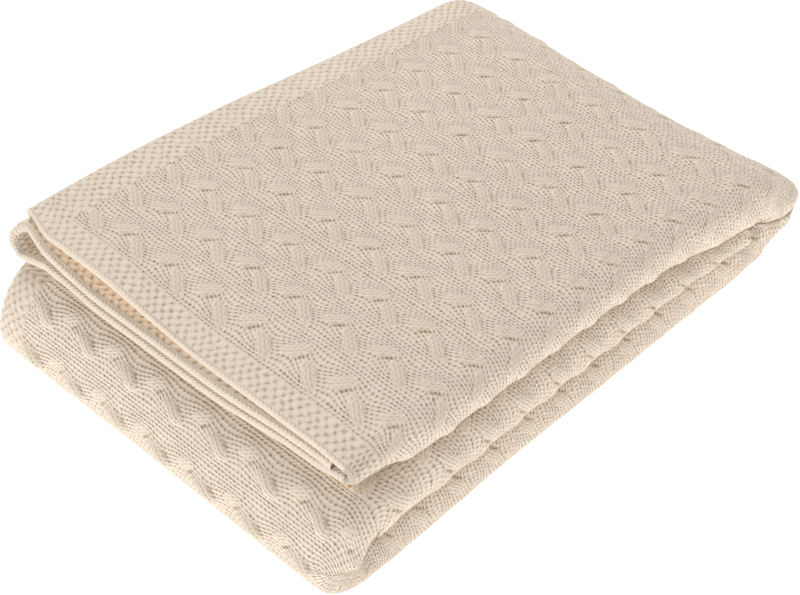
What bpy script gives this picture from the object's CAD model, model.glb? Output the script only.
# %% [markdown]
# # A folded crib blanket in cable knit
#
# The real blanket is one knitted sheet of cream cotton yarn: a field of small cables in smooth
# knitting, and a border of seed stitch round it. Here it is folded in three across, like a
# letter, and the strip that this gives is folded in three along its length.
#
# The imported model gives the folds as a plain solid. This script lays the same sheet on the same
# folds again, with its cables, its seed stitch and its soft creases as real relief, and paints
# the single stitches and the yarn on it.

# %% Load the frame
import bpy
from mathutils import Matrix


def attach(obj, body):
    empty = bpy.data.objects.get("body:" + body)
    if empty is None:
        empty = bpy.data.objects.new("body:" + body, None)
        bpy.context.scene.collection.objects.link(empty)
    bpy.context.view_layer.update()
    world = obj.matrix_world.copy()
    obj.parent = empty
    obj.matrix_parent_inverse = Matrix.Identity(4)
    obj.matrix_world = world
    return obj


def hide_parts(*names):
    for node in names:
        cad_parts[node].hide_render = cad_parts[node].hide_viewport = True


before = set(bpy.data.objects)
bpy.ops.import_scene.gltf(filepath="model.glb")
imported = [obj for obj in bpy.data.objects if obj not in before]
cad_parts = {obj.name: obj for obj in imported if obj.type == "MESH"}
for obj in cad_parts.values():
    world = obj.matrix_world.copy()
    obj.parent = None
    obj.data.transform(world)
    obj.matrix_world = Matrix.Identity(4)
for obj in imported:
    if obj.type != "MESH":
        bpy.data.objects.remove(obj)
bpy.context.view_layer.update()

# %% The helpers that everything needs
import math

import bpy
import numpy as np


def ramp(value, start, end):
    """Smooth rise from 0 at start to 1 at end: 3t^2 - 2t^3 of the clipped share t."""
    t = np.clip((value - start) / (end - start), 0.0, 1.0)
    return t * t * (3.0 - 2.0 * t)


def bell(value, middle, width):
    """A hump of height 1: e to the minus square of the distance over the width."""
    return np.exp(-(((value - middle) / width) ** 2))


print("a ramp is half way up at its middle:", float(ramp(0.5, 0.0, 1.0)))

# %% [markdown]
# ## The sheet's two directions
#
# Knitting is counted, so the sheet is too. `v` counts cables along the strip, and `u` counts the
# cable's repeats across it. One cable is 23.9 mm of cloth along the strip, and one repeat is
# 29 mm across. A point of the cloth is found in two steps: the section across the strip gives
# its y and its depth in the pass, and the strip's path turns the depth into x and z.

# %% Sizes of the cloth and of the packet, metres
CLOTH = 0.0050
PASS_HEIGHT = 0.0270
PACKET_HEIGHT = 3 * PASS_HEIGHT
CABLE_ACROSS = 0.0290
CABLE_ALONG = 0.0239
MIDDLE_OF_FOOTPRINT = (0.12407, -0.06688)

# Where each pass and turn of the strip starts, in cables along it
HEM_V = -1.146
BORDER_V = -0.40
WIDE_TURN_V = 10.35
BOTTOM_V = 15.60
ROLL_V = 26.35
MIDDLE_V = 30.35
END_V = 41.10

# Where the section across the strip starts and turns, metres along y
HEM_Y = 0.0495
BORDER_ACROSS = 0.0234
FRONT_TURN_Y = HEM_Y - BORDER_ACROSS - 6.75 * CABLE_ACROSS
BACK_TURN_Y = 0.0450
TUCKED_HEM_Y = -0.1620
print("one layer is", round(1000 * (HEM_Y - FRONT_TURN_Y)), "mm across")

# %% [markdown]
# ## The section across the strip
#
# The letter fold has three layers: the top one, a round turn at the front, the bottom one, a
# round turn at the back, and the tucked one between them. At the open hem the top layer droops
# and the bottom one rises to meet the tucked one, so the depths depend on how near a row is to
# that hem.

# %% Depths of the three layers, metres
DEPTH_1 = 0.5 * CLOTH
DEPTH_2 = 0.0117
DEPTH_3 = 0.0230

# The same at the open hem, and how far along the strip the hem is felt
HEM_REACH = 0.040
TOP_DROOP = 0.0080
TOP_TIP_DROOP = 0.0020
TUCKED_START = 0.0085
TUCKED_DROOP = 0.0080
BOTTOM_UNDER_TUCKED = 0.0052
BOTTOM_TIP_RISE = 0.0032


def layer_depths(y, hem):
    """Middle depth of each layer: the flat value, moved towards the hem's own by the share
    hem. The ramps say between which y each droop sets in."""
    droop = TOP_DROOP * ramp(y, 0.005, -0.085) + TOP_TIP_DROOP * ramp(y, -0.150, -0.170)
    depth_1 = DEPTH_1 + hem * droop
    depth_2 = DEPTH_2 + hem * (TUCKED_START + TUCKED_DROOP * ramp(y, 0.045, -0.012) - DEPTH_2)
    arm = hem * ramp(y, 0.038, 0.021)
    depth_3 = DEPTH_3 + arm * (depth_2 + BOTTOM_UNDER_TUCKED - DEPTH_3)
    depth_3 = depth_3 - hem * BOTTOM_TIP_RISE * ramp(y, -0.153, -0.168)
    return depth_1, depth_2, depth_3


def section(part, share, hem):
    """y and depth of the cloth's middle. Layers are straight, turns are half circles."""
    y_top = HEM_Y + (FRONT_TURN_Y - HEM_Y) * share
    y_low = FRONT_TURN_Y + (BACK_TURN_Y - FRONT_TURN_Y) * share
    y_tucked = BACK_TURN_Y + (TUCKED_HEM_Y - BACK_TURN_Y) * share
    upper, _, lower = layer_depths(FRONT_TURN_Y, hem)
    front_radius = 0.5 * (lower - upper)
    _, middle, bottom = layer_depths(BACK_TURN_Y, hem)
    back_radius = 0.5 * (bottom - middle)
    angle = math.pi * share
    y = np.choose(part, [
        y_top + 0 * hem,
        FRONT_TURN_Y - front_radius * np.sin(angle),
        y_low + 0 * hem,
        BACK_TURN_Y + back_radius * np.sin(angle),
        y_tucked + 0 * hem,
    ])
    depth = np.choose(part, [
        layer_depths(y_top, hem)[0],
        upper + front_radius * (1 - np.cos(angle)),
        layer_depths(y_low, hem)[2],
        bottom - back_radius * (1 - np.cos(angle)),
        layer_depths(y_tucked, hem)[1],
    ])
    return y, depth


front_depths = [round(1000 * float(depth), 1) for depth in layer_depths(-0.16, 1.0)]
print("depths at the hem's front, mm:", front_depths)

# %% [markdown]
# ## The strip's path
#
# Seen from the side, the strip runs back along the top, round the wide turn, forward along the
# floor, up through the full roll and back again inside the wide turn. The roll has no simple
# curve, so a Catmull-Rom spline carries it through seven measured points.

# %% The path of the strip, metres
WIDE_TURN_X = WIDE_TURN_V * CABLE_ALONG
ROLL_X = -0.0220
# The strip's inner end stops just short of the wide turn
TUCKED_END_X = WIDE_TURN_X - 0.0020
# How much further apart the layers lie at the middle of the wide turn
EYE_SPREAD = 0.38
# The roll's outer face from the side: x and z
ROLL_OUTLINE = np.array([
    (-0.0220, 0.0000),
    (-0.0350, 0.0010),
    (-0.0445, 0.0070),
    (-0.0475, 0.0190),
    (-0.0425, 0.0350),
    (-0.0335, 0.0475),
    (-0.0220, 0.0540),
])


def roll_face(share):
    """Catmull-Rom curve through the outline, by arc length: cubic Hermite spans whose slopes
    are half the chord between the two neighbours."""
    spacing = np.linalg.norm(np.diff(ROLL_OUTLINE, axis=0), axis=1)
    stops = np.concatenate(([0.0], np.cumsum(spacing))) / spacing.sum()
    last = len(ROLL_OUTLINE) - 2
    i = np.clip(np.searchsorted(stops, share, side="right") - 1, 0, last)
    t = ((share - stops[i]) / (stops[i + 1] - stops[i]))[..., None]
    before, start = ROLL_OUTLINE[np.maximum(i - 1, 0)], ROLL_OUTLINE[i]
    end, after = ROLL_OUTLINE[i + 1], ROLL_OUTLINE[np.minimum(i + 2, last + 1)]
    point = (2 * t**3 - 3 * t**2 + 1) * start + (3 * t**2 - 2 * t**3) * end
    point += (t**3 - 2 * t**2 + t) * 0.5 * (end - before) + (t**3 - t**2) * 0.5 * (after - start)
    return point[..., 0], np.maximum(point[..., 1], 0.0)


def path(v, depth):
    """x and z of a point of the strip at v and at a depth below the strip's outer face. The
    wide turn is a half circle, whose layers lie further apart at its middle."""
    share = np.clip((v - WIDE_TURN_V) / (BOTTOM_V - WIDE_TURN_V), 0, 1)
    angle = math.pi * (0.5 - share)
    radius = 0.5 * PACKET_HEIGHT - depth * (1 + EYE_SPREAD * np.cos(angle) ** 2)
    along = np.clip((v - BOTTOM_V) / (ROLL_V - BOTTOM_V), 0, 1)
    face_x, face_z = roll_face(np.clip((v - ROLL_V) / (MIDDLE_V - ROLL_V), 0, 1))
    inward = 1 - depth / PASS_HEIGHT
    back = np.clip((v - MIDDLE_V) / (END_V - MIDDLE_V), 0, 1)
    which = np.searchsorted([WIDE_TURN_V, BOTTOM_V, ROLL_V, MIDDLE_V], v, side="right")
    which = np.broadcast_to(which, depth.shape)
    x = np.choose(which, [
        v * CABLE_ALONG + 0 * depth,
        WIDE_TURN_X + radius * np.cos(angle),
        WIDE_TURN_X + (ROLL_X - WIDE_TURN_X) * along + 0 * depth,
        ROLL_X + (face_x - ROLL_X) * inward,
        ROLL_X + (TUCKED_END_X - ROLL_X) * back + 0 * depth,
    ])
    z = np.choose(which, [
        PACKET_HEIGHT - depth,
        0.5 * PACKET_HEIGHT + radius * np.sin(angle),
        depth,
        PASS_HEIGHT + (face_z - PASS_HEIGHT) * inward,
        2 * PASS_HEIGHT - depth,
    ])
    return x, z


print("the roll reaches to x =", round(1000 * float(ROLL_OUTLINE[:, 0].min()), 1), "mm")

# %% [markdown]
# ## How the packet has settled
#
# A real packet is never square. The far end leans, the middle pass is nipped at the right, the
# far corners sag, and the front ridges swell and sink. These are soft shifts of every point,
# worked out from its place. They follow the solid's, with a few millimetres more lean and sag
# at the far end.

# %% Lean and sag of the packet
# Shifts along x, metres: the lean of the far end, and the roll and the hem at the near end
WHOLE_LEAN = -0.0055
BACK_LEAN = 0.0165
FRONT_LEAN = 0.0095
BELLY_LEAN = 0.0070
MIDDLE_LEAN = 0.0065
ROLL_PULL = -0.0010
HEM_CORNER_PULL = 0.0060

# Shifts along y, metres: the three ridges at the front, the belly between them, the back
LOW_RIDGE_IN = 0.0030
TOP_RIDGE_OUT = -0.0050
MIDDLE_RIDGE_OUT = -0.0025
BELLY_OUT = -0.0025
BACK_SWELL = 0.0020
BACK_TAPER = -0.0080

# Along z: the sag and the slow waves are shares of the height, the nip is in metres
BACK_SAG = 0.100
FRONT_SAG = 0.075
WAVE = 0.010
WAVE_SCALE = (0.034, 0.028)
WAVE_START = 0.6
NIP = 0.0070


def settle(points):
    """Shift each point by smooth ramps of its own x, y and z. The ramps' limits are places in
    the packet before it settles, metres."""
    x, y, z = points[..., 0], points[..., 1], points[..., 2]
    far = ramp(x, 0.10, 0.286)
    front_corner = ramp(x, 0.20, 0.29) * ramp(-y, 0.10, 0.18)
    belly = ramp(z, 0.006, 0.022) * (1 - ramp(z, 0.050, 0.074))
    lean = far * (BACK_LEAN * ramp(y, -0.05, 0.05) + WHOLE_LEAN)
    lean = lean + (FRONT_LEAN + BELLY_LEAN * belly) * front_corner
    lean = lean + MIDDLE_LEAN * far * bell(y, -0.022, 0.045)
    full_end = ramp(y, -0.06, 0.04) * ramp(-x, 0.005, 0.035)
    full_height = ramp(z, 0.002, 0.014) * (1 - ramp(z, 0.036, 0.052))
    hem_corner = ramp(y, 0.025, 0.052) * ramp(z, 0.066, 0.074) * ramp(-x, 0.0, 0.02)
    new_x = x + lean + ROLL_PULL * full_end * full_height + HEM_CORNER_PULL * hem_corner

    front = ramp(-y, 0.11, 0.165)
    upper = ramp(z, 0.048, 0.060)
    lower = 1 - ramp(z, 0.016, 0.030)
    between = (1 - upper) * (1 - lower)
    shift = LOW_RIDGE_IN * lower * ramp(x, -0.02, 0.09)
    shift = shift + TOP_RIDGE_OUT * upper * ramp(x, 0.18, 0.235)
    shift = shift + MIDDLE_RIDGE_OUT * between * (1 - ramp(x, 0.02, 0.12))
    back = ramp(y, 0.0, 0.04) * (BACK_SWELL + BACK_TAPER * ramp(x, 0.03, 0.24))
    new_y = y + front * shift + back + BELLY_OUT * belly * front_corner

    sag = BACK_SAG * far * ramp(y, -0.08, 0.055)
    sag = sag + FRONT_SAG * ramp(x, 0.19, 0.28) * ramp(-y, 0.06, 0.16)
    waves = np.sin(x / WAVE_SCALE[0] + WAVE_START) * np.sin(y / WAVE_SCALE[1])
    nip = ramp(x, 0.12, 0.245) * ramp(-y, 0.11, 0.17)
    levels = (0.0, PASS_HEIGHT, 2 * PASS_HEIGHT, PACKET_HEIGHT)
    nip_shift = np.interp(z, levels, (0.0, NIP, -NIP, 0.0))
    new_z = (z + nip_shift * nip) * (1 - sag + WAVE * waves)
    return np.stack((new_x, new_y, new_z), axis=-1)


top_point = settle(np.array([[0.12, -0.07, PACKET_HEIGHT]]))[0]
print("a point at the top's middle comes to z =", round(1000 * float(top_point[2]), 1), "mm")

# %% [markdown]
# ## The grid of the cloth
#
# The cloth is one surface on a grid of rows along `v` and columns along `u`. Where the cloth
# shows, the rows are 1.5 mm apart (1.0 mm in the border) and the columns 1.3 mm (0.9 mm), so
# that each seed of the border has two or three of them. Under the packet and inside it a few
# wide columns do.
#
# At the hems the grid runs round the edge and a little way back on the wrong side, which gives
# the hem its thickness. That share of the half thickness is called `face`: 1 on the right side,
# 0 on the very edge, -1 on the wrong side.

# %% Rows and columns
# The lip round a hem: distance from the hem in metres, and face, from the wrong side out
LIP = np.array([
    (0.0120, -1.0),
    (0.0060, -1.0),
    (0.0024, -1.0),
    (0.0010, -0.80),
    (0.0003, -0.45),
    (0.0, 0.0),
    (0.0003, 0.45),
    (0.0010, 0.80),
])
# The point of the lip on the very edge, and where the grid's even steps take over
LIP_EDGE = 5
EDGE = 0.0020
# The long hem is a hair thinner than the short one, so that their lips don't share a plane
LIP_APART = 0.96

# Rows to one cable and columns to one repeat, and how many at the hems, where they are finer
ROWS, BORDER_ROWS = 16, 24
COLUMNS, BORDER_COLUMNS = 22, 33
# The first row and column past the finer ones, counted from the pattern's zero
FIRST_ROW, FIRST_COLUMN = -7, -20
# Wider steps in the turns and in the hidden layers, in counts
HIDDEN_ROW = 0.10
ROLL_ROW = 0.050
FRONT_TURN_COLUMN = 1 / 18
BACK_TURN_COLUMN = 1 / 8
LAYER_COLUMNS = 12
# Counts of cloth in the two turns across the strip
FRONT_TURN_COUNT = 1.5
BACK_TURN_COUNT = 1.0


def spread(start, end, step):
    """Evenly spaced values from start up to, but without, end."""
    count = max(1, round(abs(end - start) / step))
    return start + (end - start) * np.arange(count) / count


row_v = np.concatenate([
    HEM_V + LIP[:, 0] / CABLE_ALONG,
    spread(HEM_V + EDGE / CABLE_ALONG, FIRST_ROW / ROWS, 1 / BORDER_ROWS),
    np.arange(FIRST_ROW, math.ceil(ROWS * WIDE_TURN_V)) / ROWS,
    spread(WIDE_TURN_V, BOTTOM_V, HIDDEN_ROW),
    spread(BOTTOM_V, ROLL_V, HIDDEN_ROW),
    spread(ROLL_V, MIDDLE_V, ROLL_ROW),
    spread(MIDDLE_V, END_V, HIDDEN_ROW),
    [END_V],
])
row_face = np.concatenate([LIP[:, 1], np.ones(len(row_v) - len(LIP))])

hem_u = -HEM_Y / CABLE_ACROSS
border_u = hem_u + BORDER_ACROSS / CABLE_ACROSS
front_u = -FRONT_TURN_Y / CABLE_ACROSS
inner_u = front_u + FRONT_TURN_COUNT
bottom_count = (BACK_TURN_Y - FRONT_TURN_Y) / CABLE_ACROSS
back_u = inner_u + bottom_count
tucked_u = back_u + BACK_TURN_COUNT
tucked_count = (BACK_TURN_Y - TUCKED_HEM_Y) / CABLE_ACROSS
end_u = tucked_u + tucked_count
stops = [hem_u, front_u, inner_u, back_u, tucked_u, end_u]

col_u = np.concatenate([
    hem_u + LIP[:, 0] / CABLE_ACROSS,
    spread(hem_u + EDGE / CABLE_ACROSS, FIRST_COLUMN / COLUMNS, 1 / BORDER_COLUMNS),
    np.arange(FIRST_COLUMN, math.ceil(COLUMNS * front_u)) / COLUMNS,
    spread(front_u, inner_u, FRONT_TURN_COLUMN),
    spread(inner_u, back_u, bottom_count / LAYER_COLUMNS),
    spread(back_u, tucked_u, BACK_TURN_COLUMN),
    spread(tucked_u, end_u, tucked_count / LAYER_COLUMNS),
    [end_u],
])
col_face = np.concatenate([LIP[:, 1] * LIP_APART, np.ones(len(col_u) - len(LIP))])
col_part = np.clip(np.searchsorted(stops, col_u, side="right") - 1, 0, 4)
col_share = (col_u - np.array(stops)[col_part]) / np.diff(stops)[col_part]
print(len(row_v), "rows and", len(col_u), "columns")

# %% [markdown]
# ## The pattern of the knitting
#
# Each cable repeat has two crossings. In the first, called the long crossing, two stitches sweep
# from the lower left to the upper right. In the second, the short crossing, two others sweep back
# to the lower right. Both stand proud of the field and taper into it, and a low plait joins them.
# In the border, plain and purl stitches swap at every step, so the seeds form a chessboard.
#
# The same few sizes serve the relief here and the paint later.

# %% Sizes of the pattern
# The crossings: place in the repeat as shares of it, direction, and sizes in millimetres
LONG = {
    "v": 0.79, "u": 0.36, "lean": (0.700, -0.714),
    "half_length": 9.8, "half_width": 3.5, "bend": 2.6,
}
SHORT = {
    "v": 1.06, "u": 0.87, "lean": (0.660, 0.751),
    "half_length": 7.4, "half_width": 3.5, "bend": -1.4,
}
# The plait: all of it in shares of the repeat
PLAIT = {"v": 0.95, "u": 0.84, "swing": 0.16, "half_width": 0.30}

# Heights over the cloth, metres, and how much they vary
LONG_RISE = 0.0013
SHORT_RISE = 0.0010
PLAIT_RISE = 0.0005
SEED_RISE = 0.0009
UNEVEN = 0.30

# Seeds and stitches to one cable along and one repeat across
SEEDS_ALONG = 8
SEEDS_ACROSS = 11
WALES = 6
COURSES = 12

# On the roll the cloth is stretched: where this starts, is full, stops being full and ends
ROLL_START, ROLL_FULL, ROLL_LAST, ROLL_END = 26.0, 27.0, 30.6, 30.8
# What this does to the crossings: the share by which they shrink, and rise more or less
ROLL_LEGS = 0.4
ROLL_LONG_RISE = 0.8
ROLL_SHORT_RISE = -0.5

# The cloth's own counts and the pattern's, at the places where one drifts against the other
CLOTH_STOPS = (-2, 25.5, 27.5, 30.35, 32.0, 42.0)
PATTERN_STOPS = (-2, 25.4, 28.22, 30.64, 31.85, 41.85)
ROLL_WIDTH = 1.06
ASKEW = -0.57
ASKEW_STOPS = (29.9, 30.9)


def roll_share(v):
    """1 where the cloth is stretched over the roll, with a smooth rise and fall."""
    return ramp(v, ROLL_START, ROLL_FULL) * (1 - ramp(v, ROLL_LAST, ROLL_END))


def pattern_place(v, u):
    """Counts that the pattern follows. The cables crowd at the foot of the roll and are a sixth
    longer over its face, where they are a little wider too, and the middle pass lies askew."""
    along = np.interp(v, CLOTH_STOPS, PATTERN_STOPS)
    askew = np.interp(v, ASKEW_STOPS, (0.0, ASKEW))
    narrow = np.interp(v, (ROLL_START, ROLL_FULL, *ASKEW_STOPS),
                       (1.0, 1 / ROLL_WIDTH, 1 / ROLL_WIDTH, 1.0))
    return along + 0 * u, LONG["u"] + (u - LONG["u"]) * narrow + askew


def crossing(v, u, which):
    """Places in millimetres along and across the nearest crossing: the offset from its middle,
    wrapped to one repeat and turned by its lean. The bend swings both ends into the wales."""
    dv = (v - which["v"] + 0.5) % 1.0 - 0.5
    du = (u - which["u"] + 0.5) % 1.0 - 0.5
    x, y = 1000 * CABLE_ALONG * dv, 1000 * CABLE_ACROSS * du
    lean_x, lean_y = which["lean"]
    along = (x * lean_x + y * lean_y) * (1 + ROLL_LEGS * roll_share(v))
    share = along / which["half_length"]
    return along, y * lean_x - x * lean_y + which["bend"] * share * np.abs(share)


def crossing_dome(v, u, which):
    """Height share of a crossing: a long ellipse, round across and tapering to its ends."""
    along, across = crossing(v, u, which)
    ends = np.clip(1 - (along / which["half_length"]) ** 2, 0, 1)
    sides = np.clip(1 - (across / which["half_width"]) ** 2, 0, 1)
    return ends**0.8 * sides**0.8


def plait(v, u):
    """Low ridge that joins the crossings: a round hump over a line that swings from side to
    side once a repeat."""
    swing = PLAIT["swing"] * np.cos(2 * math.pi * (u - PLAIT["u"]))
    off = (v - PLAIT["v"] - swing + 0.5) % 1.0 - 0.5
    return np.clip(1 - (off / PLAIT["half_width"]) ** 2, 0, 1)


def seeds(v, u):
    """Beads on a chessboard: one plus the product of two cosines, halved, with the furrows
    narrowed by squaring what is missing from 1."""
    board = 0.5 + 0.5 * np.cos(math.pi * SEEDS_ALONG * v) * np.cos(math.pi * SEEDS_ACROSS * u)
    return 1 - (1 - board) ** 2


def in_border(v, u):
    """1 in the seed-stitch border and 0 in the field, with a soft step between."""
    along = 1 - ramp(v, BORDER_V - 0.13, BORDER_V - 0.08)
    across = 1 - ramp(u, border_u - 0.06, border_u - 0.01)
    return np.maximum(along, across)


print("long crossing:", 2 * LONG["half_length"], "by", 2 * LONG["half_width"], "mm")

# %% [markdown]
# ## The sheet in its folds
#
# First comes the middle of the cloth: section, path, settling. Its normals then carry the half
# thickness and the relief. The inner side of a turn has less room than cloth, so the pattern
# follows the real length there, and the cloth that is left over lies in one small crease.

# %% Points of the sheet
# At the hem the lower layers stand out past the top one: by part of the section, metres
HEM_STAGGER = np.array([0.0, 0.0, 0.0045, 0.0045, 0.0035])
# Cloth may be squeezed to this share of its length before it goes into a turn's crease, which
# is this wide, in cables, and this deep, in metres
SQUEEZE = 0.93
CREASE_WIDTH = 0.12
TURN_CREASE = 0.0010
# A soft crease across the top, at this cable, and the slow swell of the top: heights in metres
TOP_CREASE_V = 2.36
TOP_CREASE = -0.0011
TOP_SWELL = 0.0007
# Nothing stands proud on the floor: the relief grows to its full height by here, metres
CLEAR_OF_FLOOR = 0.018


def smooth_noise(v, u, seed):
    """Slow uneven swell between -1 and 1: three crossing sine waves."""
    a = np.sin(1.3 * v + 0.7 * u + seed)
    b = np.sin(0.6 * v - 1.7 * u + 2.3 * seed)
    c = np.sin(2.4 * v + 2.1 * u + 0.5 * seed)
    return (a + b + 0.6 * c) / 2.6


def middle_surface(v, part, share):
    """The cloth's middle: section, path, then settling."""
    v = v[:, None]
    hem = 1 - ramp((v - HEM_V) * CABLE_ALONG, 0.0, HEM_REACH)
    hem = np.where(v < WIDE_TURN_V, hem, 0.0)
    y, depth = section(part[None, :] + 0 * v.astype(int), share[None, :] + 0 * v, hem)
    x, z = path(v, depth)
    stagger = HEM_STAGGER[part][None, :] * hem * (1 - 0.9 * ramp(-y, 0.085, 0.145))
    return settle(np.stack((x - stagger, y, z), axis=-1))


def outward(points):
    """Unit normals of a grid of points: the cross product of its two central differences. The
    rows and columns that run back round the hem take the normal of the cloth beside them."""
    lip = len(LIP)
    inner = points[lip:, lip:]
    normals = np.cross(np.gradient(inner, axis=1), np.gradient(inner, axis=0))
    normals /= np.maximum(np.linalg.norm(normals, axis=-1, keepdims=True), 1e-12)
    rows = np.concatenate((np.searchsorted(row_v[lip:], row_v[:lip]), np.arange(len(inner))))
    columns = np.searchsorted(col_u[lip:], col_u[:lip])
    columns = np.concatenate((columns, np.arange(inner.shape[1])))
    return normals[rows][:, columns]


def roomy_counts(points):
    """v of every point, but following the real length of the cloth's inner side in the two
    turns, where there is less room than cloth. The counts lost up to a row are the sum of its
    steps times 1 - real length / own length. Each half of a turn is counted from its own end,
    so the lost cloth is tucked into one crease at the turn's middle. Also gives that crease."""
    step = np.abs(np.diff(row_v))[:, None] + 1e-9
    real = np.linalg.norm(np.diff(points, axis=0), axis=-1) / CABLE_ALONG
    whole = 1 + 0 * col_share
    inner = np.choose(col_part, [0 * whole, ramp(col_share, 0.0, 0.35), whole, whole, whole])
    loss = (1 - np.clip(real / step / SQUEEZE, 0.0, 1.0)) * step * inner
    counts = row_v[:, None] + 0 * col_u[None, :]
    crease = 0 * counts
    for start, end in ((WIDE_TURN_V, BOTTOM_V), (ROLL_V, MIDDLE_V)):
        middle = 0.5 * (start + end)
        steps = np.flatnonzero((row_v[:-1] >= start) & (row_v[:-1] < end))
        lost = np.cumsum(loss[steps], axis=0)
        counts[steps + 1] += np.where(row_v[steps + 1, None] > middle, lost[-1], 0.0) - lost
        crease += bell(row_v[:, None], middle, CREASE_WIDTH) * ramp(lost[-1][None, :], 0.5, 1.5)
    return counts, crease


def shown_share(v, u, part, share):
    """How much of the relief shows: all of it on the top and the roll, some in the turns and
    on the tucked layer's hem, none in the hidden layers and at the very edges."""
    top = np.where(v < BOTTOM_V, 1 - 0.5 * ramp(v, 9.6, 10.9), 0.0)
    roll = np.where((v >= ROLL_V) & (v < MIDDLE_V), 1 - ramp(v, 29.8, 30.2), 0.0)
    front_turn = 0.6 * (1 - ramp(np.abs(share - 0.45), 0.30, 0.55))
    back_turn = 0.6 + 0 * v
    tucked_hem = 0.5 * (v < BORDER_V)
    shown = np.choose(part, [np.maximum(top, roll), front_turn, 0 * v, back_turn, tucked_hem])
    return shown * ramp(v - HEM_V, 0.06, 0.16) * ramp(u - hem_u, 0.06, 0.16)


def relief(v, u, part, share, height, roomy_v):
    """Height of the knitting over the cloth, metres, with the fades at the floor and between
    the passes, where the cloth is pressed flat."""
    pattern_v, pattern_u = pattern_place(roomy_v, u)
    border = in_border(pattern_v, pattern_u)
    on_roll = roll_share(pattern_v)
    long_rise = LONG_RISE * (1 + ROLL_LONG_RISE * on_roll)
    short_rise = SHORT_RISE * (1 + ROLL_SHORT_RISE * on_roll)
    cables = long_rise * crossing_dome(pattern_v, pattern_u, LONG)
    cables = cables + short_rise * crossing_dome(pattern_v, pattern_u, SHORT)
    cables = cables + PLAIT_RISE * plait(pattern_v, pattern_u)
    cables = cables * (1 + UNEVEN * smooth_noise(2.1 * v, 2.3 * u, 1.0))
    knit = (1 - border) * cables + border * SEED_RISE * seeds(pattern_v, pattern_u)
    crease = TOP_CREASE * bell(v, TOP_CREASE_V + 0.03 * np.sin(2 * u), 0.09)
    crease = crease * ramp(u, 0.2, 1.2) * (1 - ramp(u, 5.9, 6.4))
    swell = TOP_SWELL * smooth_noise(0.9 * v, 1.1 * u, 4.0)
    soft = np.where(v < WIDE_TURN_V, crease + swell, 0.0) * (part == 0)
    shown = shown_share(v, u, part, share)
    return (knit * shown + soft) * ramp(height, CLOTH, CLEAR_OF_FLOOR)


base = middle_surface(row_v, col_part, col_share)
normals = outward(base)
grid_v = row_v[:, None] + 0 * col_u[None, :]
grid_u = 0 * row_v[:, None] + col_u[None, :]
grid_part = col_part[None, :] + 0 * row_v[:, None].astype(int)
grid_share = col_share[None, :] + 0 * row_v[:, None]
face = np.minimum(row_face[:, None], col_face[None, :])
roomy_v, turn_crease = roomy_counts(base)
lift = relief(grid_v, grid_u, grid_part, grid_share, base[..., 2], roomy_v) * (face > 0.99)
print("the relief stands up to", round(1000 * float(lift.max()), 1), "mm over the cloth")
lift -= TURN_CREASE * turn_crease
points = base + normals * (0.5 * CLOTH * face + lift)[..., None]
points[..., :2] -= MIDDLE_OF_FOOTPRINT
points[..., 2] = np.maximum(points[..., 2], 0.0)
low, high = points.reshape(-1, 3).min(axis=0), points.reshape(-1, 3).max(axis=0)
print("cloth box, mm:", np.round(1000 * low), np.round(1000 * high))

# %% [markdown]
# ## From points to a mesh
#
# Every four neighbours make a face. In the two hidden passes only every twelfth column of the
# flat layer is kept, and where such a row meets a full one, fans of triangles join them, so the
# cloth stays one connected surface. At the corner of the two hems the lips would lie on each
# other's wrong side twice over, so the faces that both of them turn back are left out.

# %% Faces of the grid
SKIP = 12
outer = np.flatnonzero(col_part == 0)
first_outer, last_outer = len(LIP), outer[-1] + 1
kept = np.arange(first_outer, last_outer, SKIP)
full_columns = np.arange(len(col_u))
few_columns = np.concatenate([np.arange(first_outer), kept, np.arange(last_outer, len(col_u))])
hidden_row = ((row_v > BOTTOM_V + 0.3) & (row_v < ROLL_V - 0.1)) | (row_v > MIDDLE_V + 0.05)
index = np.arange(len(row_v) * len(col_u)).reshape(len(row_v), len(col_u))


def quads(rows, columns):
    """Faces between pairs of neighbouring rows, over the given columns."""
    a = index[rows][:, columns]
    b = index[rows + 1][:, columns]
    return np.stack((a[:, :-1], b[:, :-1], b[:, 1:], a[:, 1:]), axis=-1).reshape(-1, 4)


def fans(full_row, few_row, turned):
    """Triangles between a full row and a row of few columns: each fine edge joins the nearer
    kept column, and each wide edge joins the middle of its span."""
    fine = np.arange(first_outer, last_outer)
    ends = np.append(kept, last_outer)
    nearest = ends[np.abs(fine[:, None] + 0.5 - ends[None, :]).argmin(axis=1)]
    middles = np.array([fine[nearest == end][-1] + 1 for end in ends[:-1]])
    full, few = index[full_row], index[few_row]
    small = np.stack((full[fine], few[nearest], full[fine + 1]), axis=-1)
    wide = np.stack((few[ends[:-1]], few[ends[1:]], full[middles]), axis=-1)
    triangles = np.concatenate((small, wide))
    return triangles[:, ::-1] if turned else triangles


rows = np.arange(len(row_v) - 1)
both_full = ~hidden_row[rows] & ~hidden_row[rows + 1]
both_few = hidden_row[rows] & hidden_row[rows + 1]
to_few = rows[~hidden_row[rows] & hidden_row[rows + 1]]
to_full = rows[hidden_row[rows] & ~hidden_row[rows + 1]]
side_columns = [np.arange(first_outer + 1), np.arange(last_outer, len(col_u))]
four_sided = [quads(rows[both_full], full_columns), quads(rows[both_few], few_columns)]
three_sided = []
for changes, turned in ((to_few, False), (to_full, True)):
    four_sided += [quads(changes, columns) for columns in side_columns]
    three_sided += [fans(row + turned, row + 1 - turned, turned) for row in changes]
four_sided = np.concatenate(four_sided)
three_sided = np.concatenate(three_sided)
quad_row, quad_column = np.divmod(four_sided[:, 0], len(col_u))
four_sided = four_sided[(quad_row >= LIP_EDGE) | (quad_column >= LIP_EDGE)]
print(len(four_sided), "quads and", len(three_sided), "triangles")

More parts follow.
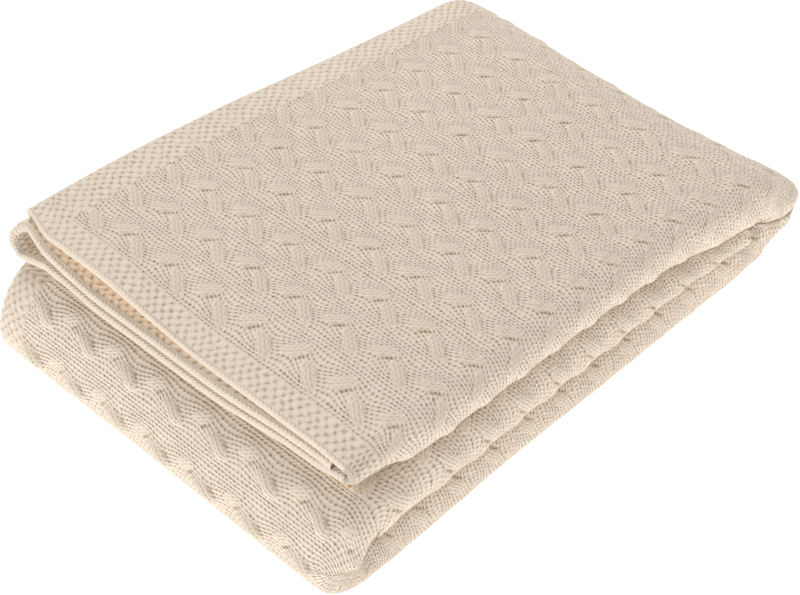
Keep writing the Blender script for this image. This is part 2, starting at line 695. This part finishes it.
# %% Make the mesh
def make_mesh(name, points, four_sided, three_sided):
    """A mesh from whole arrays of points, quads and triangles, shaded smooth. Also gives the
    points that it uses."""
    corners = np.concatenate((four_sided.ravel(), three_sided.ravel()))
    used, corners = np.unique(corners, return_inverse=True)
    sizes = np.concatenate((np.full(len(four_sided), 4), np.full(len(three_sided), 3)))
    starts = np.concatenate(([0], np.cumsum(sizes)[:-1]))
    mesh = bpy.data.meshes.new(name)
    mesh.vertices.add(len(used))
    mesh.vertices.foreach_set("co", points.reshape(-1, 3)[used].astype(np.float32).ravel())
    mesh.loops.add(len(corners))
    mesh.loops.foreach_set("vertex_index", corners.astype(np.int32).ravel())
    mesh.polygons.add(len(sizes))
    mesh.polygons.foreach_set("loop_start", starts.astype(np.int32))
    mesh.polygons.foreach_set("use_smooth", np.ones(len(sizes), dtype=bool))
    mesh.update(calc_edges=True)
    mesh.validate()
    return mesh, used


cloth_mesh, used = make_mesh("knitted_sheet", points, four_sided, three_sided)
blanket = bpy.data.objects.new("knitted_sheet", cloth_mesh)
bpy.context.scene.collection.objects.link(blanket)
cloth_mesh.calc_loop_triangles()
print("knitted sheet:", len(cloth_mesh.vertices), "points,",
      len(cloth_mesh.loop_triangles), "triangles")

# %% [markdown]
# ## What the paint has to know
#
# The mesh keeps two vectors at each point: where the pattern is there, and the state of the
# cloth, which is how far the point lies inside the hem or between the passes, and how far it is
# in the crease of a turn.

# %% Store the pattern's counts and the state of the cloth
# How much of the inside's shade the wrong side of the short hem takes
INSIDE_LIP = 0.35
deep_lip = LIP[:, 0] > 0.003
pattern_v, pattern_u = pattern_place(roomy_v, grid_u)
row_in = np.concatenate((INSIDE_LIP * deep_lip, np.zeros(len(row_v) - len(LIP))))
under_hem = ramp(grid_v - HEM_V, 0.09, 0.25) * (1 - ramp(grid_share, 0.60, 0.80))
between_passes = ramp(grid_v, 30.0, 30.5) * (grid_part == 0)
inside = np.maximum(under_hem * (grid_part == 4), between_passes) * (face > 0)
inside = np.maximum(inside, row_in[:, None])


def store(name, *values):
    """Keep three numbers of every grid point as a vector on the mesh."""
    vector = np.stack(values, axis=-1).reshape(-1, 3)[used]
    layer = cloth_mesh.attributes.new(name, "FLOAT_VECTOR", "POINT")
    layer.data.foreach_set("vector", vector.astype(np.float32).ravel())
    return vector


counts = store("pattern_place", pattern_v, pattern_u, 0 * grid_v)
store("cloth_state", inside, turn_crease, 0 * grid_v)
print("pattern counts from", counts.min(axis=0).round(2), "to", counts.max(axis=0).round(2))

# %% [markdown]
# ## The yarn's paint
#
# The stitches are far smaller than the grid, so they are drawn by the material: a height that
# drives a Bump node, and the same height darkens the little holes between the stitches. Shader
# maths reads best as plain expressions, so a small class wraps a socket and adds Math nodes.

# %% Expressions on sockets
class Strand:
    """A value in a material. Arithmetic on it adds Math nodes."""

    def __init__(self, paint, socket):
        self.paint = paint
        self.socket = socket

    def __add__(self, other):
        return self.paint.math("ADD", self, other)

    def __sub__(self, other):
        return self.paint.math("SUBTRACT", self, other)

    def __rsub__(self, other):
        return self.paint.math("SUBTRACT", other, self)

    def __mul__(self, other):
        return self.paint.math("MULTIPLY", self, other)

    def __truediv__(self, other):
        return self.paint.math("DIVIDE", self, other)

    def __abs__(self):
        return self.paint.math("ABSOLUTE", self)

    __radd__ = __add__
    __rmul__ = __mul__


class Paint:
    """A material whose nodes are added one by one."""

    def __init__(self, name):
        self.material = bpy.data.materials.new(name)
        self.material.use_nodes = True
        self.tree = self.material.node_tree
        self.shader = self.tree.nodes["Principled BSDF"]

    def node(self, kind, settings=None, inputs=None, output=0):
        """Add a node: its settings first, then the values or links of its sockets."""
        made = self.tree.nodes.new(kind)
        for name, value in (settings or {}).items():
            setattr(made, name, value)
        for key, value in (inputs or {}).items():
            self.fill(made.inputs[key], value)
        return Strand(self, made.outputs[output])

    def fill(self, socket, value):
        """Give a socket a link or a plain value."""
        if isinstance(value, Strand):
            self.tree.links.new(value.socket, socket)
        else:
            socket.default_value = value

    def stored(self, name):
        """A vector stored on the mesh, and its first two numbers."""
        settings = {"attribute_name": name}
        vector = self.node("ShaderNodeAttribute", settings, output="Vector")
        first = self.node("ShaderNodeSeparateXYZ", None, {0: vector})
        return vector, first, Strand(self, first.socket.node.outputs[1])

    def noise(self, place, scale, detail):
        """Random shares between 0 and 1 that change smoothly from place to place."""
        inputs = {"Vector": place, "Scale": scale, "Detail": detail}
        return self.node("ShaderNodeTexNoise", None, inputs)

    def math(self, operation, *values, clamp=False):
        """One Math node."""
        settings = {"operation": operation, "use_clamp": clamp}
        return self.node("ShaderNodeMath", settings, dict(enumerate(values)))

    def cosine(self, turns):
        """Cosine of a number of full turns."""
        return self.math("COSINE", turns * (2 * math.pi))

    def fraction(self, value):
        """What is left of the value over its whole number."""
        return self.math("FRACT", value)

    def clip(self, value):
        """The value kept between 0 and 1."""
        return self.math("ADD", value, 0.0, clamp=True)

    def smaller(self, a, b):
        """The smaller of two values."""
        return self.math("MINIMUM", a, b)

    def larger(self, a, b):
        """The larger of two values."""
        return self.math("MAXIMUM", a, b)

    def blend(self, share, a, b):
        """a where share is 0 and b where it is 1, for plain values."""
        return a + share * (b - a)

    def colour(self, share, a, b):
        """Mix of two colours by a share."""
        return self.node("ShaderNodeMix", {"data_type": "RGBA"}, {0: share, 6: a, 7: b}, 2)

    def finish(self, name, value):
        """Give a socket of the Principled shader a link or a plain value."""
        self.fill(self.shader.inputs[name], value)


print("expressions are ready")

# %% [markdown]
# ### The field's stitches
#
# A plain stitch is a V. Its two legs are a quarter of a wale from the V's middle, and each leg
# rises and falls once a course, later towards the outside. Between two wales lies a deeper
# furrow with a dark hole at each course. On a crossing the legs run along its lean instead, and
# the wales beside the plait swing with it.
#
# Heights here are shares, not metres. The weights in the expressions were set by eye, beside
# the photograph. `wobble` and `jitter` push the stitches about a little, so that they aren't as
# even as print.

# %% The height of the field
paint = Paint("cream_cotton_knit")
place, v, u = paint.stored("pattern_place")
_, inside_share, crease_share = paint.stored("cloth_state")
wobble = paint.noise(place, 2.2, 1.0) - 0.5
jitter = paint.noise(place, 9.0, 0.0) - 0.5
roll_fall = (ROLL_END - v) * (1 / (ROLL_END - ROLL_LAST))
on_roll = paint.clip(v - ROLL_START) * paint.clip(roll_fall)


def crossing_paint(which):
    """The same offsets as crossing(), as nodes: along and across, in millimetres."""
    dv = paint.fraction(v - which["v"] + 0.5) - 0.5
    du = paint.fraction(u - which["u"] + 0.5) - 0.5
    x, y = dv * (1000 * CABLE_ALONG), du * (1000 * CABLE_ACROSS)
    lean_x, lean_y = which["lean"]
    along = (x * lean_x + y * lean_y) * (1.0 + on_roll * ROLL_LEGS)
    share = along / which["half_length"]
    return along, y * lean_x - x * lean_y + share * abs(share) * which["bend"]


def crossing_mask(along, across, which):
    """1 on a crossing, falling to 0 at its rim, which is sharper on the roll."""
    ends = along / which["half_length"]
    sides = across / which["half_width"]
    return paint.clip((1.0 - ends * ends - sides * sides) * (1.8 + on_roll * 1.2))


def crossing_legs(along, across, leg, twist, weights):
    """Legs that run along a crossing, leg millimetres apart, with the slant of the yarn's
    twist over them: two cosines with their weights, plus a level."""
    leg_weight, twist_weight, level = weights
    slant = along / twist[0] + across / twist[1]
    return paint.cosine(across / leg) * leg_weight + paint.cosine(slant) * twist_weight + level


long_along, long_across = crossing_paint(LONG)
short_along, short_across = crossing_paint(SHORT)
on_long = crossing_mask(long_along, long_across, LONG)
on_short = crossing_mask(short_along, short_across, SHORT) * (1.0 - on_roll * 0.4)

near_plait = paint.cosine(v - PLAIT["v"]) * 0.5 + 0.5
swing = paint.cosine(u - PLAIT["u"]) * near_plait * (0.10 - on_roll * 0.02)
wale = (v - swing) * WALES + wobble * 0.3
leg = abs(paint.fraction(wale) - 0.5)
course = u * COURSES + leg * 0.9 + wobble * 0.9 + jitter * 0.35
across_leg = leg * 4.0 - 1.0
along_leg = paint.fraction(course) * 2.0 - 1.0
across_leg, along_leg = across_leg * across_leg, along_leg * along_leg
plain = 0.85 - across_leg * 0.95 - along_leg * 0.55 - across_leg * along_leg * 0.55
plain = plain + jitter * 1.4
long_legs = crossing_legs(long_along, long_across, 1.75, (3.1, 3.9), (0.50, 0.20, 0.27))
short_legs = crossing_legs(short_along, short_across, 1.60, (2.9, 3.7), (0.38, 0.18, 0.2))
field = paint.blend(on_short, paint.blend(on_long, plain, long_legs), short_legs)
print("field:", len(paint.tree.nodes), "nodes")

# %% [markdown]
# ### The border's seeds and the hem
#
# The seeds lie on two crossing sets of slanting lines. A bead is a dome over the middle of its
# diamond, half parabola and half cosine, and the holes are at the corners. The last millimetres
# of the hem are a chain of plain stitches.

# %% The height of the border
HALF_SEEDS = (0.5 * SEEDS_ALONG, 0.5 * SEEDS_ACROSS)
# Reach of the hem's chain and width of one of its stitches, millimetres
HEM_CHAIN = 2.6
CHAIN_WIDTH = 2.3

sway = wobble * 0.8 + jitter * 0.5
rising = paint.fraction(v * HALF_SEEDS[0] + u * HALF_SEEDS[1] + sway + 0.5) - 0.5
falling = paint.fraction(v * HALF_SEEDS[0] - u * HALF_SEEDS[1] - sway + 0.5) - 0.5
bead = 0.70 - (rising * rising + falling * falling) * 2.5 + jitter * 0.6
bead = bead + (paint.cosine(rising) + paint.cosine(falling)) * 0.225
from_row_hem = (v - HEM_V) * (1000 * CABLE_ALONG)
from_column_hem = (u - hem_u) * (1000 * CABLE_ACROSS)
from_edge = paint.smaller(from_row_hem, from_column_hem)
chain_leg = abs(paint.fraction(from_edge / CHAIN_WIDTH) - 0.5)
chain_rows = paint.cosine((v + u) * COURSES + chain_leg * 1.1)
chain = 0.35 - paint.cosine(chain_leg) * 0.25 + chain_rows * 0.45
seed = paint.blend(paint.clip(HEM_CHAIN - from_edge), bead, chain)
along_border = paint.clip((BORDER_V - 0.11 - v) * 30.0)
across_border = paint.clip((border_u - 0.03 - u) * 30.0)
border = paint.larger(along_border, across_border)
stitch_height = paint.blend(border, field, seed) * (1.0 - crease_share * 0.8)
print("field and border:", len(paint.tree.nodes), "nodes")

# %% [markdown]
# ### Colour
#
# The cotton is nearly one cream. It is darker in the holes between the stitches, in the small
# gap under the rim of each crossing and in the creases of the turns, and warmer and a little
# lit through inside the hem and between the passes.

# %% The cotton's colour and surface
BUMP_HEIGHT = 0.00050
ROUGHNESS = 0.92
SHINE = 0.25
SHEEN = 0.15
SHEEN_ROUGHNESS = 0.6


def srgb(*values):
    """A colour from the photograph's 0 to 255 scale, made linear for the shader."""
    shares = np.array(values) / 255.0
    linear = np.where(shares <= 0.04045, shares / 12.92, ((shares + 0.055) / 1.055) ** 2.4)
    return (*linear, 1.0)


CREAM = srgb(235, 220, 202)
SECOND_CREAM = srgb(231, 216, 198)
INSIDE_CREAM = srgb(233, 214, 191)
HOLE_BROWN = srgb(166, 134, 98)
INSIDE_LIGHT = srgb(132, 117, 100)
NO_LIGHT = srgb(0, 0, 0)

fuzz = paint.noise(place, 60.0, 1.0) - 0.5
bump_inputs = {"Strength": 1.0, "Distance": BUMP_HEIGHT, "Height": stitch_height + fuzz * 0.35}
bump = paint.node("ShaderNodeBump", None, bump_inputs)

# Holes between the stitches: deeper in the first wales after the border, softer in the border
first_wales = paint.clip(1.0 - abs(v - BORDER_V + 0.06) / 0.10) * 0.5
hole = paint.clip(stitch_height * -0.75 + 0.03 + border * 0.10)
hole = hole * (1.0 + first_wales) * (1.0 - border * 0.35)

# The gap under a crossing's rim: on both sides of a long one, on one side of a short one
beside_long = paint.clip(1.0 - abs(abs(long_across) - 3.9) / 0.9)
under_long = beside_long * paint.clip(1.0 - abs(long_along) / 4.0)
beside_short = paint.clip(1.2 - abs(short_across - 4.2) / 1.1)
under_short = beside_short * paint.clip(1.3 - abs(short_along - 1.2) / 3.8)
rim = paint.larger(under_long * (0.35 + on_roll * 0.45), under_short * (wobble * 1.4 + 0.55))
rim = rim * (1.0 - border)

dark = hole * (1.15 + inside_share * 0.4) + rim * (1.0 - crease_share) + crease_share * 0.35
dark = paint.clip(dark)
cream = paint.colour(paint.noise(place, 0.35, 0.0), CREAM, SECOND_CREAM)
warm = paint.colour(inside_share, cream, INSIDE_CREAM)
glow = paint.colour(inside_share * (1.0 - dark * 0.9), NO_LIGHT, INSIDE_LIGHT)
paint.finish("Base Color", paint.colour(dark, warm, HOLE_BROWN))
paint.finish("Emission Color", glow)
paint.finish("Emission Strength", 1.0)
paint.finish("Normal", bump)
paint.finish("Roughness", ROUGHNESS)
paint.finish("Specular IOR Level", SHINE)
paint.finish("Sheen Weight", SHEEN)
paint.finish("Sheen Roughness", SHEEN_ROUGHNESS)
cloth_mesh.materials.append(paint.material)
print("cotton:", len(paint.tree.nodes), "nodes")

# %% [markdown]
# ## The sheet on the frame
#
# The blanket is one piece that stands for the solid. Its flat size is that of the unfolded
# sheet: across, three layers and two turns; along, three passes, the wide turn and the roll.

# %% Put the sheet on the frame
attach(blanket, "root")
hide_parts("blanket")
print("the sheet rides on root and stands for the blanket")

# %% [markdown]
# ## Floor, light and camera
#
# The photograph is a bright product picture: the blanket on pure white, lit softly from above.
# A pale, slightly glowing floor under a pale sky gives the same even light. One broad lamp from
# the back gives the cables their small shadows, and two low, weak ones light the roll and the
# front.

# %% Floor and light
FLOOR_HALF = 3.0
FLOOR_DROP = 0.0005
FLOOR_WHITE = (0.95, 0.95, 0.95, 1.0)
FLOOR_LIGHT = (1.0, 0.985, 0.96, 1.0)
FLOOR_GLOW = 0.8
FLOOR_ROUGHNESS = 0.9
SKY_WHITE = (1.0, 0.99, 0.97, 1.0)
SKY_STRENGTH = 0.53
LIT_POINT = (0, 0, 0.04)

floor_mesh = bpy.data.meshes.new("floor")
signs = ((-1, -1), (1, -1), (1, 1), (-1, 1))
floor_corners = [(x * FLOOR_HALF, y * FLOOR_HALF, 0.0) for x, y in signs]
floor_mesh.from_pydata(floor_corners, [], [(0, 1, 2, 3)])
floor = bpy.data.objects.new("floor", floor_mesh)
bpy.context.scene.collection.objects.link(floor)
floor.location.z = -FLOOR_DROP
floor_paint = Paint("white_floor")
floor_paint.finish("Base Color", FLOOR_WHITE)
floor_paint.finish("Roughness", FLOOR_ROUGHNESS)
floor_paint.finish("Emission Color", FLOOR_LIGHT)
floor_paint.finish("Emission Strength", FLOOR_GLOW)
floor_mesh.materials.append(floor_paint.material)

world = bpy.data.worlds.new("pale_room")
world.use_nodes = True
world.node_tree.nodes["Background"].inputs["Color"].default_value = SKY_WHITE
world.node_tree.nodes["Background"].inputs["Strength"].default_value = SKY_STRENGTH
bpy.context.scene.world = world


def lamp(name, place, size, watts):
    """A square lamp that faces the packet."""
    light = bpy.data.lights.new(name, "AREA")
    light.shape, light.size, light.energy = "SQUARE", size, watts
    made = bpy.data.objects.new(name, light)
    bpy.context.scene.collection.objects.link(made)
    made.location = place
    x, y, z = np.array(LIT_POINT) - np.array(place)
    made.rotation_euler = (math.atan2(math.hypot(x, y), -z), 0.0, math.atan2(-x, y))


lamp("broad_lamp", (0.5, 0.9, 1.5), 0.7, 15.4)
lamp("side_lamp", (-1.3, -0.15, 0.45), 0.9, 4.4)
lamp("front_lamp", (0.1, -1.4, 0.45), 0.9, 2.4)
print("floor and light are up")

# %% Camera
CAMERA_PLACE = (-0.48810, -0.45217, 0.59150)
CAMERA_TURN = (48.618, -0.612, -46.028)
CAMERA_LENS = 77.261
CAMERA_SENSOR = 36.0

camera_data = bpy.data.cameras.new("camera")
camera_data.sensor_width = CAMERA_SENSOR
camera_data.lens = CAMERA_LENS
camera = bpy.data.objects.new("camera", camera_data)
bpy.context.scene.collection.objects.link(camera)
camera.location = CAMERA_PLACE
camera.rotation_euler = [math.radians(angle) for angle in CAMERA_TURN]
bpy.context.scene.camera = camera
bpy.context.scene.view_settings.view_transform = "Standard"
print("camera at", tuple(round(value, 3) for value in camera.location))
